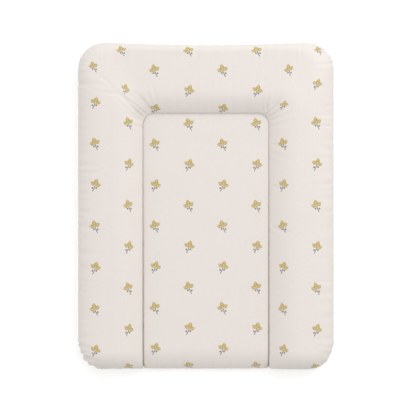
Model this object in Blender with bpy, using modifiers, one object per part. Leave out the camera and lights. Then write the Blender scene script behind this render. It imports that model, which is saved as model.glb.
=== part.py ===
"""Padded baby changing mat: a film cover welded over a foam pad and a raised three-sided bolster.

Metres, +Z up. The origin lies on the table under the middle of the mat. +Y points to the head end,
+X to the right of someone who stands at the foot end. The weld between the top and the bottom film
runs round the pad on three sides and is open at the foot end, so the pad runs out to the foot edge.
"""

from math import cos, pi, sin

import bmesh
import bpy
from mathutils import Vector

# Overall sizes
MAT_WIDTH = 0.548
MAT_LENGTH = 0.700
BOLSTER_HEIGHT = 0.070
PAD_HEIGHT = 0.036
OUTLINE_CORNER_RADIUS = 0.056
HEAD_EDGE_DRAW_IN = 0.005

# Film and the gap that every two pieces keep
FILM = 0.0006
CLEARANCE = 0.0003

# Weld round the pad
WELD_HALF_SPACING = 0.1355
WELD_TO_HEAD_EDGE = 0.149
WELD_CORNER_RADIUS = 0.018
WELD_HALF_WIDTH = 0.0015

# How the cushions round off: the run is how far from an edge a cushion still rises
BOLSTER_INNER_RUN = 0.066
PAD_EDGE_RUN = 0.045
PAD_FOOT_RUN = 0.038
ROLL_POWER = 2.8
ROLL_AT_WELD_SHARE = 0.62
ROLL_AT_EDGE_SHARE = 0.38
BULGE_SHARE = 0.22

# Seam between top and bottom film, with its allowance turned inwards
SEAM_HEIGHT = 0.0035
SEAM_INSET = 0.006
SEAM_ALLOWANCE = 0.003
LOWER_WALL = 0.024
BASE_TURN_UP = 0.004

# Where the weld runs out at the foot end, the cover climbs over the seam and its edge is drawn in
WELD_END_HEIGHT = 0.008
WELD_END_FLAT = 0.012
WELD_END_RUN = 0.020
NOTCH_RUN = 0.020

# Crease of the cover over the mitre between two bolsters
CREASE_DEPTH = 0.005
CREASE_HALF_WIDTH = 0.012

# Foam
FOAM_TOE_INSET = 0.020
FOAM_END_SHARE = 0.3

# Breather discs welded to the inside of the bottom film
VENT_DISC_RADIUS = 0.009
VENT_DISC_THICKNESS = 0.001
VENT_WINDOW_RADIUS = 0.004
VENT_PINHOLE_RADIUS = 0.0006
VENT_PINHOLE_CIRCLE_RADIUS = 0.002
VENT_PINHOLES = 5
VENT_TO_FOOT_EDGE = 0.130
VENT_SEGMENTS = 24
PINHOLE_SEGMENTS = 8
CUT_OVERRUN = 0.002

# Where the grid lines of the sheet lie, as shares of each run
OUTER_LINE_SHARES = (0.0, 0.03, 0.16, 0.42, 0.7, 1.0)
INNER_LINE_SHARES = (0.35, 0.06)
PAD_LINE_SHARES = (0.12, 1.0)
MIDDLE_ROWS = 1
HEAD_OUTLINE_SEGMENTS = 12
CORNER_SEGMENTS = 6

# Worked out from the sizes above
HALF_WIDTH = MAT_WIDTH / 2
HALF_LENGTH = MAT_LENGTH / 2
SIDE_BOLSTER_WIDTH = HALF_WIDTH - WELD_HALF_SPACING
HEAD_WELD_Y = HALF_LENGTH - WELD_TO_HEAD_EDGE
BOLSTER_OUTER_RUN = SIDE_BOLSTER_WIDTH - WELD_HALF_WIDTH - BOLSTER_INNER_RUN
CROWN_X = WELD_HALF_SPACING + WELD_HALF_WIDTH + BOLSTER_INNER_RUN
WELD_FLOOR = 2 * FILM + CLEARANCE
FILLING_BASE = FILM + CLEARANCE
BASE_SEAM_HEIGHT = SEAM_HEIGHT - CLEARANCE
SAME_PLACE = CLEARANCE / 1000

PRINTED_FILM = ("printed_film", (0.82, 0.77, 0.72, 1.0), 0.42)
PLAIN_FILM = ("plain_film", (0.84, 0.83, 0.80, 1.0), 0.45)
FOAM = ("foam", (0.86, 0.80, 0.62, 1.0), 0.95)
VENT_PLASTIC = ("vent_plastic", (0.80, 0.80, 0.78, 1.0), 0.35)


def clear_scene():
    for obj in list(bpy.data.objects):
        bpy.data.objects.remove(obj, do_unlink=True)


def new_collection(name):
    collection = bpy.data.collections.new(name)
    bpy.context.scene.collection.children.link(collection)
    return collection


def new_material(name, colour, roughness):
    material = bpy.data.materials.new(name)
    material.use_nodes = True
    shader = material.node_tree.nodes["Principled BSDF"]
    shader.inputs["Base Color"].default_value = colour
    shader.inputs["Roughness"].default_value = roughness
    shader.inputs["Metallic"].default_value = 0.0
    return material


def object_from(bm, name, collection, material=None):
    """Makes an object of a bmesh and frees the bmesh."""
    mesh = bpy.data.meshes.new(name)
    bm.to_mesh(mesh)
    bm.free()
    obj = bpy.data.objects.new(name, mesh)
    collection.objects.link(obj)
    if material is not None:
        mesh.materials.append(material)
        mesh.shade_smooth()
    return obj


# The shape of the cover


def roll(distance, run, roundness):
    """Rise from 0 at an edge to 1 at the end of the run, level at the end and steeper by the edge."""
    share = min(max(distance / run, 0.0), 1.0)
    return (1 - (1 - share) ** ROLL_POWER) ** roundness


def section_height(across):
    """Height of the filled cover at a distance from the weld, which is negative on the pad's side."""
    if across < -WELD_HALF_WIDTH:
        rise = roll(-across - WELD_HALF_WIDTH, PAD_EDGE_RUN, ROLL_AT_WELD_SHARE)
        return WELD_FLOOR + (PAD_HEIGHT - WELD_FLOOR) * rise
    rise = roll(across - WELD_HALF_WIDTH, BOLSTER_INNER_RUN, ROLL_AT_WELD_SHARE)
    return WELD_FLOOR + (BOLSTER_HEIGHT - WELD_FLOOR) * rise


def weld_end_height(inside):
    """Least height of the cover near the outline, where a weld runs out over the seam."""
    share = min(max((inside - WELD_END_FLAT) / WELD_END_RUN, 0.0), 1.0)
    return WELD_END_HEIGHT + (WELD_FLOOR - WELD_END_HEIGHT) * share


def edge_share(inside, run):
    """Share of the section's height at a distance inside the outline, which is negative below the bulge."""
    if inside < 0:
        return BULGE_SHARE * max(0.0, 1 + inside / LOWER_WALL)
    return BULGE_SHARE + (1 - BULGE_SHARE) * roll(inside, run, ROLL_AT_EDGE_SHARE)


def head_reach(across):
    """Distance from the head weld that matches a distance from a side weld."""
    if across <= 0:
        return across
    beyond = max(0.0, across - SIDE_BOLSTER_WIDTH)
    return (across - beyond) * WELD_TO_HEAD_EDGE / SIDE_BOLSTER_WIDTH + beyond


def across_at_head(reach):
    """The inverse of head_reach."""
    if reach <= 0:
        return reach
    beyond = max(0.0, reach - WELD_TO_HEAD_EDGE)
    return (reach - beyond) * SIDE_BOLSTER_WIDTH / WELD_TO_HEAD_EDGE + beyond


def ring_corner_radius(across):
    """Corner radius of the ring round the pad at a distance from the weld."""
    if across <= 0:
        return max(0.0, WELD_CORNER_RADIUS + across)
    if across >= SIDE_BOLSTER_WIDTH:
        return OUTLINE_CORNER_RADIUS + across - SIDE_BOLSTER_WIDTH
    share = across / SIDE_BOLSTER_WIDTH
    return WELD_CORNER_RADIUS + (OUTLINE_CORNER_RADIUS - WELD_CORNER_RADIUS) * share


def rounded(reach_x, reach_y):
    """Bends a square corner into an arc. Returns the point past the arc's centre and the way outwards."""
    if min(reach_x, reach_y) <= 0:
        outwards = Vector((1.0, 0.0)) if reach_x >= reach_y else Vector((0.0, 1.0))
        return Vector((reach_x, reach_y)), outwards
    radius = max(reach_x, reach_y)
    lean = pi / 4 * min(reach_x, reach_y) / radius
    outwards = Vector((cos(lean), sin(lean)))
    if reach_y > reach_x:
        outwards = outwards.yx
    return outwards * radius, outwards


def across_weld(flat_x, flat_y):
    """Distance outwards from the nearest weld line, on the flat sheet."""
    return max(abs(flat_x) - WELD_HALF_SPACING, across_at_head(flat_y - HEAD_WELD_Y))


def inside_outline(flat_x, flat_y):
    """Distance inwards from the outline, on the flat sheet. It is negative on what is turned under."""
    return min(SIDE_BOLSTER_WIDTH - across_weld(flat_x, flat_y), flat_y + HALF_LENGTH)


def plan_point(flat_x, flat_y, turned_in):
    """Place in plan of a point of the flat sheet, and of film turned that far in from the outline."""
    across = across_weld(flat_x, flat_y)
    inside = inside_outline(flat_x, flat_y)
    if flat_y < OUTLINE_CORNER_RADIUS - HALF_LENGTH:
        centre = Vector((HALF_WIDTH - OUTLINE_CORNER_RADIUS, OUTLINE_CORNER_RADIUS - HALF_LENGTH))
        towards_foot = -1
    else:
        radius = ring_corner_radius(across)
        centre = Vector((WELD_HALF_SPACING + across, HEAD_WELD_Y + head_reach(across)))
        centre -= Vector((radius, radius))
        towards_foot = 1
    point, outwards = rounded(abs(flat_x) - centre.x, towards_foot * (flat_y - centre.y))
    point -= outwards * (max(0.0, -inside) + turned_in)
    x = centre.x + point.x
    y = centre.y + towards_foot * point.y
    draw_in = HEAD_EDGE_DRAW_IN * max(0.0, 1 - (flat_x / CROWN_X) ** 2)
    y -= draw_in * max(0.0, min(across_at_head(flat_y - HEAD_WELD_Y) / SIDE_BOLSTER_WIDTH, 1.0))
    return Vector((x if flat_x >= 0 else -x, y))


def crease(flat_x, flat_y):
    """How far the cover dips over the mitre between the head bolster and a side bolster."""
    side = abs(flat_x) - WELD_HALF_SPACING
    head = across_at_head(flat_y - HEAD_WELD_Y)
    along = min(side, head) / (BOLSTER_INNER_RUN + WELD_HALF_WIDTH)
    if not 0 < along < 1:
        return 0.0
    beside = max(0.0, 1 - abs(side - head) / CREASE_HALF_WIDTH)
    return CREASE_DEPTH * beside * sin(pi * along)


def cover_point(flat_x, flat_y):
    """Where a point of the flat top sheet lies on the made-up mat."""
    across = across_weld(flat_x, flat_y)
    inside = inside_outline(flat_x, flat_y)
    filling_height = section_height(across)
    height = max(filling_height, weld_end_height(inside))
    run = PAD_FOOT_RUN if across < 0 else BOLSTER_OUTER_RUN
    z = SEAM_HEIGHT + (height - SEAM_HEIGHT) * edge_share(inside, run) - crease(flat_x, flat_y)
    if inside < 0:
        under = min(-inside / LOWER_WALL, 1.0)
        turned_in = SEAM_INSET * under**2 + max(0.0, -inside - LOWER_WALL)
        empty = 1 - under
    else:
        turned_in = 0.0
        empty = max(0.0, 1 - inside / NOTCH_RUN)
    filled = min(1.0, (filling_height - WELD_FLOOR) / (PAD_HEIGHT - WELD_FLOOR))
    turned_in += SEAM_INSET * (1 - filled) * empty
    x, y = plan_point(flat_x, flat_y, turned_in)
    return Vector((x, y, z))


# The grid that the cover and the foam share


def sheet_lines(weld_edge):
    """Columns and rows of the flat sheet. weld_edge is where a cushion starts beside the weld."""
    insides = [-LOWER_WALL - SEAM_ALLOWANCE, -LOWER_WALL]
    insides += [BOLSTER_OUTER_RUN * share for share in OUTER_LINE_SHARES]
    acrosses = [SIDE_BOLSTER_WIDTH - inside for inside in insides]
    acrosses += [WELD_HALF_WIDTH + BOLSTER_INNER_RUN * share for share in INNER_LINE_SHARES]
    acrosses += [weld_edge, -weld_edge]
    acrosses += [-WELD_HALF_WIDTH - PAD_EDGE_RUN * share for share in PAD_LINE_SHARES]
    right = [WELD_HALF_SPACING + across for across in acrosses]
    columns = [-x for x in right] + [0.0] + right[::-1]
    head = [HEAD_WELD_Y + head_reach(across) for across in reversed(acrosses)]
    foot = [inside - HALF_LENGTH for inside in insides]
    gap = (head[0] - foot[-1]) / (MIDDLE_ROWS + 1)
    middle = [foot[-1] + gap * (row + 1) for row in range(MIDDLE_ROWS)]
    return columns, foot + middle + head


def sheet_grid(columns, rows):
    """A flat grid whose vertices carry the numbers of their column and row."""
    bm = bmesh.new()
    bmesh.ops.create_grid(bm, x_segments=len(columns) - 1, y_segments=len(rows) - 1, size=0.5)
    column_layer = bm.verts.layers.int.new("column")
    row_layer = bm.verts.layers.int.new("row")
    for vert in bm.verts:
        vert[column_layer] = round((vert.co.x + 0.5) * (len(columns) - 1))
        vert[row_layer] = round((vert.co.y + 0.5) * (len(rows) - 1))
    return bm, column_layer, row_layer


def split_quads(bm):
    """Halves each quad by the diagonal that points to its own corner of the mat."""
    rising = []
    falling = []
    for face in bm.faces:
        centre = face.calc_center_median()
        (rising if centre.x * centre.y > 0 else falling).append(face)
    bmesh.ops.triangulate(bm, faces=rising, quad_method="FIXED")
    bmesh.ops.triangulate(bm, faces=falling, quad_method="ALTERNATE")


def cover_sheet():
    """The outer skin of the top cover, in triangles, and the layers that hold its columns and rows."""
    columns, rows = sheet_lines(WELD_HALF_WIDTH)
    bm, column_layer, row_layer = sheet_grid(columns, rows)
    for vert in bm.verts:
        vert.co = cover_point(columns[vert[column_layer]], rows[vert[row_layer]])
    split_quads(bm)
    bm.normal_update()
    return bm, column_layer, row_layer


# Covers


def thicken(obj):
    """Gives a skin the film's thickness, on its inner side."""
    solidify = obj.modifiers.new("film", "SOLIDIFY")
    solidify.thickness = FILM
    solidify.offset = -1.0
    solidify.use_even_offset = False


def make_top_cover(collection, material):
    bm, _, _ = cover_sheet()
    thicken(object_from(bm, "cover_top", collection, material))


def outline_points(turned_in):
    """Points round the mat, anticlockwise from its foot edge, that far in from the outline."""
    corner_x = HALF_WIDTH - OUTLINE_CORNER_RADIUS
    corner_y = HALF_LENGTH - OUTLINE_CORNER_RADIUS
    reaches = [OUTLINE_CORNER_RADIUS * step / CORNER_SEGMENTS for step in range(CORNER_SEGMENTS + 1)]
    right = [(corner_x + reach, -HALF_LENGTH) for reach in reaches]
    right += [(HALF_WIDTH, -corner_y - reach) for reach in reaches[-2::-1]]
    right += [(HALF_WIDTH, corner_y + reach) for reach in reaches]
    right += [(corner_x + reach, HALF_LENGTH) for reach in reaches[-2::-1]]
    step = 2 * corner_x / HEAD_OUTLINE_SEGMENTS
    head = [(corner_x - step * number, HALF_LENGTH) for number in range(1, HEAD_OUTLINE_SEGMENTS)]
    left = [(-x, y) for x, y in reversed(right)]
    return [plan_point(x, y, turned_in) for x, y in right + head + left]


def make_base_cover(collection, cutters, material):
    """The bottom film: flat on the table, turned up at the rim and in again as seam allowance."""
    rings = [
        (0.0, outline_points(SEAM_INSET + BASE_TURN_UP)),
        (BASE_SEAM_HEIGHT, outline_points(SEAM_INSET)),
        (BASE_SEAM_HEIGHT, outline_points(SEAM_INSET + SEAM_ALLOWANCE)),
    ]
    bm = bmesh.new()
    place = bm.verts.layers.int.new("place_round_the_rim")
    bmesh.ops.create_circle(bm, cap_ends=True, radius=HALF_WIDTH, segments=len(rings[0][1]))
    bmesh.ops.reverse_faces(bm, faces=bm.faces)
    for number, vert in enumerate(bm.verts):
        vert[place] = number
    ring = bm.verts[:]
    for height, points in rings:
        if height:
            rim = [edge for edge in bm.edges if edge.is_boundary]
            turned = bmesh.ops.extrude_edge_only(bm, edges=rim)["geom"]
            ring = [item for item in turned if isinstance(item, bmesh.types.BMVert)]
        for vert in ring:
            vert.co = (*points[vert[place]], height)
    obj = object_from(bm, "cover_base", collection, material)
    thicken(obj)
    for name, (x, y) in vent_places().items():
        window = cylinder(
            f"window_of_{name}",
            VENT_WINDOW_RADIUS,
            Vector((x, y, -CUT_OVERRUN)),
            Vector((x, y, FILM + CUT_OVERRUN)),
            VENT_SEGMENTS,
            cutters,
        )
        cut(obj, window)


# Foam


def foam_edge_inset(inside):
    """How far inside the outline the lower edge of the foam stays, where it follows a weld to the foot."""
    return max(inside, FOAM_TOE_INSET + max(0.0, inside) * FOAM_END_SHARE)


def filling(is_part):
    """A foam block under the faces of the cover that is_part chooses, flat underneath."""
    columns, rows = sheet_lines(WELD_HALF_WIDTH)
    toe_columns, toe_rows = sheet_lines(WELD_HALF_WIDTH + FILLING_BASE)
    bm, column_layer, row_layer = cover_sheet()
    places = {}
    dropped = []
    for vert in bm.verts:
        column, row = vert[column_layer], vert[row_layer]
        flat = columns[column], rows[row]
        across, inside = across_weld(*flat), inside_outline(*flat)
        toe = toe_columns[column], toe_rows[row]
        if inside < -LOWER_WALL - SAME_PLACE or not is_part(across):
            dropped.append(vert)
        elif inside < -SAME_PLACE:
            places[vert] = (*plan_point(*toe, FOAM_TOE_INSET), FILLING_BASE)
        elif abs(across) < WELD_HALF_WIDTH + SAME_PLACE:
            drawn_back = foam_edge_inset(inside) - inside
            places[vert] = (*plan_point(*toe, drawn_back), FILLING_BASE)
        else:
            places[vert] = vert.co - vert.normal * FILLING_BASE
    for vert, place in places.items():
        vert.co = place
    bmesh.ops.delete(bm, geom=dropped, context="VERTS")
    bmesh.ops.remove_doubles(bm, verts=bm.verts, dist=SAME_PLACE)
    low = FILLING_BASE + SAME_PLACE
    lying = [face for face in bm.faces if all(vert.co.z < low for vert in face.verts)]
    bmesh.ops.delete(bm, geom=lying, context="FACES")
    bmesh.ops.holes_fill(bm, edges=[edge for edge in bm.edges if edge.is_boundary])
    return bm


def is_pad(across):
    return across <= -WELD_HALF_WIDTH + SAME_PLACE


def is_bolster(across):
    return across >= WELD_HALF_WIDTH - SAME_PLACE


def keep_side(bm, point, normal):
    """Cuts a closed mesh by a plane, keeps the side that the normal points to, and closes the cut."""
    everything = bm.verts[:] + bm.edges[:] + bm.faces[:]
    bmesh.ops.bisect_plane(
        bm, geom=everything, dist=SAME_PLACE, plane_co=point, plane_no=normal, clear_inner=True
    )
    bmesh.ops.holes_fill(bm, edges=[edge for edge in bm.edges if edge.is_boundary])


def mitre(side):
    """A point of the mitre between the head bolster and one side bolster, and the way towards the head."""
    inner = Vector((WELD_HALF_SPACING - WELD_CORNER_RADIUS, HEAD_WELD_Y - WELD_CORNER_RADIUS, 0.0))
    outer = Vector((HALF_WIDTH - OUTLINE_CORNER_RADIUS, HALF_LENGTH - OUTLINE_CORNER_RADIUS, 0.0))
    along = (outer - inner).normalized()
    return Vector((side * inner.x, inner.y, 0.0)), Vector((-side * along.y, along.x, 0.0))


def make_side_bolster(name, side, collection, material):
    bm = filling(is_bolster)
    keep_side(bm, Vector(), Vector((side, 0.0, 0.0)))
    point, headwards = mitre(side)
    keep_side(bm, point - headwards * CLEARANCE / 2, -headwards)
    return object_from(bm, name, collection, material)


def make_head_bolster(collection, material):
    bm = filling(is_bolster)
    for side in (-1, 1):
        point, headwards = mitre(side)
        keep_side(bm, point + headwards * CLEARANCE / 2, headwards)
    return object_from(bm, "head_bolster", collection, material)


# Breather discs


def vent_places():
    """Where each breather disc sits, by its name."""
    bolster_x = WELD_HALF_SPACING + SIDE_BOLSTER_WIDTH / 2
    y = VENT_TO_FOOT_EDGE - HALF_LENGTH
    return {
        "vent_disc_left": (-bolster_x, y),
        "vent_disc_centre": (0.0, y),
        "vent_disc_right": (bolster_x, y),
    }


def cylinder(name, radius, low, high, segments, collection, material=None):
    """An upright cylinder between two heights."""
    bm = bmesh.new()
    bmesh.ops.create_cone(
        bm, cap_ends=True, segments=segments, radius1=radius, radius2=radius, depth=high.z - low.z
    )
    bmesh.ops.translate(bm, verts=bm.verts, vec=(low + high) / 2)
    return object_from(bm, name, collection, material)


def cut(obj, cutter):
    """Takes the cutter's shape out of an object, and hides the cutter."""
    boolean = obj.modifiers.new(cutter.name, "BOOLEAN")
    boolean.operation = "DIFFERENCE"
    boolean.object = cutter
    cutter.hide_render = True
    cutter.display_type = "WIRE"


def make_vent_disc(name, x, y, foam, collection, cutters, material):
    """A disc with a ring of pinholes over its window in the film, in a pocket under the foam."""
    low = Vector((x, y, FILLING_BASE))
    high = low + Vector((0.0, 0.0, VENT_DISC_THICKNESS))
    below = low - Vector((0.0, 0.0, CUT_OVERRUN))
    disc = cylinder(name, VENT_DISC_RADIUS, low, high, VENT_SEGMENTS, collection, material)
    for number in range(VENT_PINHOLES):
        turn = 2 * pi * number / VENT_PINHOLES
        offset = Vector((cos(turn), sin(turn), 0.0)) * VENT_PINHOLE_CIRCLE_RADIUS
        above = high + Vector((0.0, 0.0, CUT_OVERRUN))
        pinhole = cylinder(
            f"pinhole_{number}_of_{name}",
            VENT_PINHOLE_RADIUS,
            below + offset,
            above + offset,
            PINHOLE_SEGMENTS,
            cutters,
        )
        cut(disc, pinhole)
    roof = high + Vector((0.0, 0.0, CLEARANCE))
    pocket = cylinder(
        f"pocket_for_{name}", VENT_DISC_RADIUS + CLEARANCE, below, roof, VENT_SEGMENTS, cutters
    )
    cut(foam, pocket)


def build():
    clear_scene()
    mat = new_collection("changing_mat")
    cutters = new_collection("cutters")
    printed_film = new_material(*PRINTED_FILM)
    plain_film = new_material(*PLAIN_FILM)
    foam = new_material(*FOAM)
    vent_plastic = new_material(*VENT_PLASTIC)

    make_top_cover(mat, printed_film)
    make_base_cover(mat, cutters, plain_film)
    pad = object_from(filling(is_pad), "centre_pad", mat, foam)
    left = make_side_bolster("side_bolster_left", -1, mat, foam)
    right = make_side_bolster("side_bolster_right", 1, mat, foam)
    make_head_bolster(mat, foam)
    over_vents = {"vent_disc_left": left, "vent_disc_centre": pad, "vent_disc_right": right}
    for name, (x, y) in vent_places().items():
        make_vent_disc(name, x, y, over_vents[name], mat, cutters, vent_plastic)


build()
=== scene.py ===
"""A padded changing mat for a baby, laid flat on a table and seen from straight above.

One sheet of printed film covers a low pad and a raised bolster that runs up the left side, across
the head end and down the right side. Metres, +Z up, +Y to the head end.
"""
from math import radians

import bmesh
import bpy
import numpy as np
from mathutils import Matrix, Vector


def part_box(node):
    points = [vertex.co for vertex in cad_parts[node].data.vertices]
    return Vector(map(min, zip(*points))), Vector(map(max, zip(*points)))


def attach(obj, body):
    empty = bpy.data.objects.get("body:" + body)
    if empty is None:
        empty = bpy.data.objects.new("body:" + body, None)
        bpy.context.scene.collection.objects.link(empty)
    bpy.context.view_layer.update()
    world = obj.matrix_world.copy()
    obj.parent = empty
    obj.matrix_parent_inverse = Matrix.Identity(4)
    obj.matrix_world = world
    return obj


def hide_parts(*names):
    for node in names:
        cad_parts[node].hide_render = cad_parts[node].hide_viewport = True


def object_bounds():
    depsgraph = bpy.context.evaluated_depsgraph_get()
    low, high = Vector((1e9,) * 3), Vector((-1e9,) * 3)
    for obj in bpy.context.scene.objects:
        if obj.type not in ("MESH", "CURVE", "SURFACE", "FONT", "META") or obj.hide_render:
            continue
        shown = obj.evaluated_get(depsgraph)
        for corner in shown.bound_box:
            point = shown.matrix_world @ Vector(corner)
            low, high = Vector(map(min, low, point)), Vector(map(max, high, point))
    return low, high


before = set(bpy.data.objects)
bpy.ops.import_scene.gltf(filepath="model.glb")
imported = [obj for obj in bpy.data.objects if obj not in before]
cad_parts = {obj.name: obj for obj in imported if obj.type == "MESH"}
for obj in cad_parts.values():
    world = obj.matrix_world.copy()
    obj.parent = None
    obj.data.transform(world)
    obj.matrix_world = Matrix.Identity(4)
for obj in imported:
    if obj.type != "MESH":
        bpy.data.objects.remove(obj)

solid_low, solid_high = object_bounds()

# Camera, about two and a half metres above the table and looking straight down, with the head end
# of the mat at the top of the picture. It is framed by four places measured in the photograph.

PICTURE_PIXELS = 416
MAT_LEFT_PIXEL = 78.0
MAT_RIGHT_PIXEL = 333.9
MAT_TOP_PIXEL = 42.9
MAT_BOTTOM_PIXEL = 369.6
CAMERA_LENS_MM = 100.0
BULGE_HEIGHT = 0.020

mat_length = solid_high.y - solid_low.y
metres_per_pixel = mat_length / (MAT_BOTTOM_PIXEL - MAT_TOP_PIXEL)
camera_data = bpy.data.cameras.new("camera")
camera_data.lens = CAMERA_LENS_MM
camera_distance = PICTURE_PIXELS * metres_per_pixel * CAMERA_LENS_MM / camera_data.sensor_width
camera = bpy.data.objects.new("camera", camera_data)
bpy.context.scene.collection.objects.link(camera)
bpy.context.scene.camera = camera
camera.location = (
    (PICTURE_PIXELS - MAT_LEFT_PIXEL - MAT_RIGHT_PIXEL) / 2 * metres_per_pixel,
    (MAT_TOP_PIXEL + MAT_BOTTOM_PIXEL - PICTURE_PIXELS) / 2 * metres_per_pixel,
    BULGE_HEIGHT + camera_distance,
)

# Light: a white room that is a little brighter at the head end, and one wide soft lamp high over the
# head end and to the right. The slopes that face the foot end or the left come out a little darker.

WHITE = (1.0, 1.0, 1.0, 1.0)
ROOM_STRENGTH = 0.88
ROOM_SIDE_SHARE = 0.35
LAMP_POWER = 9.6
LAMP_SIZE = 1.2
LAMP_PLACE = (1.1, 1.2, 1.7)

bpy.context.scene.view_settings.view_transform = "Standard"


def number(nodes, links, operation, *values):
    """A Math node fed with numbers or with other nodes' results. Returns its result."""
    node = nodes.new("ShaderNodeMath")
    node.operation = operation
    for place, value in enumerate(values):
        if isinstance(value, bpy.types.NodeSocket):
            links.new(value, node.inputs[place])
        else:
            node.inputs[place].default_value = value
    return node.outputs[0]


room = bpy.data.worlds.new("white_room")
bpy.context.scene.world = room
room.use_nodes = True
room_nodes = room.node_tree.nodes
room_links = room.node_tree.links
room_light = room_nodes["Background"]
room_light.inputs["Color"].default_value = WHITE
towards = room_nodes.new("ShaderNodeTexCoord")
room_axes = room_nodes.new("ShaderNodeSeparateXYZ")
room_links.new(towards.outputs["Generated"], room_axes.inputs[0])
side_strength = ROOM_STRENGTH * ROOM_SIDE_SHARE
strength_towards = number(
    room_nodes, room_links, "MULTIPLY_ADD", room_axes.outputs["Y"], side_strength, ROOM_STRENGTH
)
room_links.new(strength_towards, room_light.inputs["Strength"])

# What the camera sees behind the object, and what a gloss mirrors, is plain white.
white_backdrop = room_nodes.new("ShaderNodeBackground")
white_backdrop.inputs["Color"].default_value = WHITE
ray = room_nodes.new("ShaderNodeLightPath")
seen = number(room_nodes, room_links, "MAXIMUM", ray.outputs["Is Camera Ray"], ray.outputs["Is Glossy Ray"])
seen = number(room_nodes, room_links, "MAXIMUM", seen, ray.outputs["Is Transmission Ray"])
room_mix = room_nodes.new("ShaderNodeMixShader")
room_links.new(seen, room_mix.inputs["Fac"])
room_links.new(room_light.outputs[0], room_mix.inputs[1])
room_links.new(white_backdrop.outputs[0], room_mix.inputs[2])
room_links.new(room_mix.outputs[0], room_nodes["World Output"].inputs["Surface"])

lamp_data = bpy.data.lights.new("soft_lamp", "AREA")
lamp_data.shape = "DISK"
lamp_data.size = LAMP_SIZE
lamp_data.energy = LAMP_POWER
lamp = bpy.data.objects.new("soft_lamp", lamp_data)
lamp.location = LAMP_PLACE
lamp.rotation_euler = Vector(LAMP_PLACE).to_track_quat("Z", "Y").to_euler()
bpy.context.scene.collection.objects.link(lamp)

# Table: one plain white surface under the mat. To the camera it adds a little light of its own, so
# that it is as white as the photograph's ground and still takes the mat's shadow.

TABLE_SIZE = 8.0
TABLE_COLOUR = (0.8, 0.8, 0.8, 1.0)
TABLE_GLOW = 0.37

bm = bmesh.new()
bmesh.ops.create_grid(bm, x_segments=1, y_segments=1, size=TABLE_SIZE / 2)
table_mesh = bpy.data.meshes.new("table")
bm.to_mesh(table_mesh)
bm.free()
table = bpy.data.objects.new("table", table_mesh)
bpy.context.scene.collection.objects.link(table)


def new_finish(name):
    """A new material, with its nodes, its links and its shader."""
    material = bpy.data.materials.new(name)
    material.use_nodes = True
    nodes = material.node_tree.nodes
    return material, nodes, material.node_tree.links, nodes["Principled BSDF"]


white_ground, ground_nodes, ground_links, ground = new_finish("white_ground")
ground.inputs["Base Color"].default_value = TABLE_COLOUR
ground.inputs["Roughness"].default_value = 1.0
ground.inputs["Specular IOR Level"].default_value = 0.0
ground.inputs["Emission Color"].default_value = WHITE
ground_ray = ground_nodes.new("ShaderNodeLightPath")
glow = number(ground_nodes, ground_links, "MULTIPLY", ground_ray.outputs["Is Camera Ray"], TABLE_GLOW)
ground_links.new(glow, ground.inputs["Emission Strength"])
table_mesh.materials.append(white_ground)

# Top cover: one sheet of printed film, laid over the foam, welded to the bottom film in a line along
# both sides and the head end of the pad, and seamed to it all round, close above the table. It is a
# little too large for the foam, so it puckers beside the welds and along the edges.

FILM = 0.0006
CLEARANCE = 0.0003
WELD_TO_HEAD_EDGE = 0.1527
WELD_HALF_WIDTH = 0.0003
WELD_HEIGHT = 0.0326
WELD_FALL = 0.0070
HEAD_WELD_LIFT = 0.0006
HEAD_LIP_DROP = 0.004
RIGHT_LIP_DROP = 0.0060
HEAD_CROWN_DROP = 0.011
WELD_CORNER_RADIUS = 0.024
OUTLINE_CORNER_RADIUS = 0.056
HEAD_EDGE_DRAW_IN = 0.005
BOLSTER_INNER_RUN = 0.066
HEAD_INNER_RUN = 0.045
HEAD_OUTER_RUN = 0.019
PAD_EDGE_RUN = 0.045
PAD_FOOT_RUN = 0.050
PAD_FOOT_ROUNDNESS = 0.75
BOLSTER_FOOT_RUN = 0.045
BOLSTER_FOOT_ROUNDNESS = 0.5
PAD_LIP_HEIGHT = 0.0335
BOLSTER_LIP_HEIGHT = 0.0415
HIGH_LIP_RUN = 0.0008
LOW_LIP_RUN = 0.0014
HEAD_LIP_RUN = 0.0028
LIP_POWER = 2.0
ROLL_POWER = 2.2
EDGE_ROLL_POWER = 2.8
EDGE_ROUNDNESS = 0.38
PUCKER_ROOM = 0.0012
PUCKER_ROOM_RUN = 0.030
FOOT_TURNS = (0.0, 0.02, 0.26, 0.45, 0.65, 1.0)
LEFT_FOOT_ROOM = (0.0, 0.0032, 0.0034, 0.0034, 0.0008, 0.0012)
RIGHT_FOOT_ROOM = (0.0, 0.0018, 0.0019, 0.0, 0.0, 0.0)
BULGE_SHARE = 0.22
LOWER_WALL = 0.024
SEAM_HEIGHT = 0.0035
SEAM_INSET = 0.006
SEAM_ALLOWANCE = 0.003
WELD_END_HEIGHT = 0.014
WELD_END_FLAT = 0.004
WELD_END_RUN = 0.022
NOTCH_RUN = 0.020
SECTION_PLACES = 4000
PAD_SPACING = 0.0052
LENGTH_SPACING = 0.0042
EDGE_SPACING = 0.0032
CREASED_SPACING = 0.0025
CREASED_BESIDE_WELD = 0.030

weld_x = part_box("centre_pad")[1].x + WELD_HALF_WIDTH + FILM + CLEARANCE
crown_height = solid_high.z
pad_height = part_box("centre_pad")[1].z + FILM + CLEARANCE
half_width = (solid_high.x - solid_low.x) / 2
half_length = mat_length / 2
weld_y = half_length - WELD_TO_HEAD_EDGE
side_width = half_width - weld_x
outer_run = side_width - WELD_HALF_WIDTH - BOLSTER_INNER_RUN
crown_x = weld_x + WELD_HALF_WIDTH + BOLSTER_INNER_RUN
corner_x = half_width - OUTLINE_CORNER_RADIUS
foot_corner_y = OUTLINE_CORNER_RADIUS - half_length


def roll(distance, run, power, roundness=1.0):
    """Rise from 0 at an edge to 1 at the end of the run, level at the end and steeper by the edge."""
    share = np.clip(distance / run, 0, 1)
    return (1 - (1 - share) ** power) ** roundness


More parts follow.
